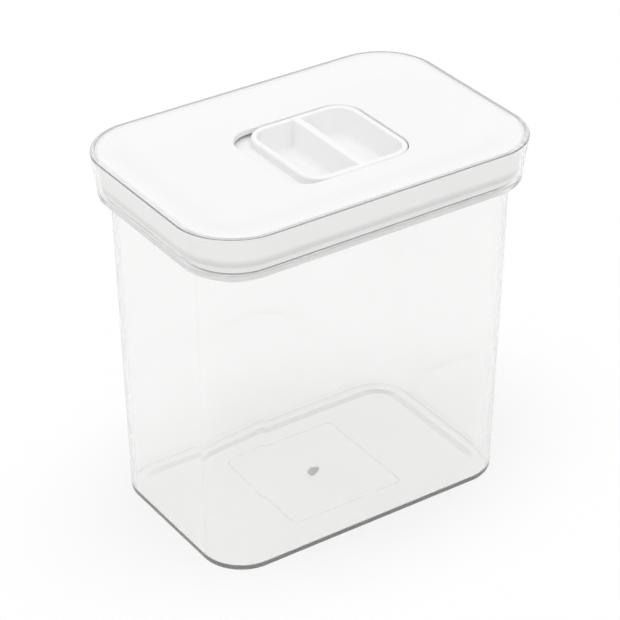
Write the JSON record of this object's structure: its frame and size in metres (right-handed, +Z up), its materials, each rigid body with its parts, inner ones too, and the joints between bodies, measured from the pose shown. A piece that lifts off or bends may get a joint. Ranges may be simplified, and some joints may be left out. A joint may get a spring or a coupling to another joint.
{
  "type": "storage container",
  "caption": "Clear rounded-rectangle food storage container with a flared collar and a white drop-in lid whose pinch slider raises and lowers a sealing plate",
  "frame": {"origin": "on the surface it stands on, under the middle of the base", "axes": "+Z up, +X along the long side towards the end where the slider locks, +Y to the rear"},
  "size_m": [0.1998, 0.1348, 0.2],
  "materials": {
    "clear_plastic": "clear polished moulding",
    "lid_white": "satin white",
    "slider_white": "satin white",
    "silicone": "soft white silicone",
    "inner_white": "fine matt white",
    "rail_grey": "low-friction grey",
    "screw_steel": "stainless",
    "pin_steel": "ground stainless"
  },
  "bodies": {
    "container": {"container_body": "clear_plastic"},
    "lid": {"lid_cover": "lid_white", "guide_rail_front": "rail_grey", "guide_rail_rear": "rail_grey", "rail_screws": "screw_steel", "gasket": "silicone"},
    "slider": {"slider_tray": "slider_white"},
    "seal": {"seal_plate": "inner_white", "cam_pin_front_left": "pin_steel", "cam_pin_front_right": "pin_steel", "cam_pin_rear_left": "pin_steel", "cam_pin_rear_right": "pin_steel"}
  },
  "joints": [
    {"name": "lid_lift", "type": "slide", "parent": "container", "child": "lid", "axis": [0, 0, 1], "range_m": [0, 0.06]},
    {"name": "slider_slide", "type": "slide", "parent": "lid", "child": "slider", "axis": [-1, 0, 0], "range_m": [0, 0.0095]},
    {"name": "plate_drop", "type": "slide", "parent": "lid", "child": "seal", "axis": [0, 0, -1], "range_m": [0, 0.0019], "deforming": ["gasket"]}
  ],
  "couplings": [
    {"joint": "plate_drop", "follows": "slider_slide", "ratio": 0.2}
  ]
}
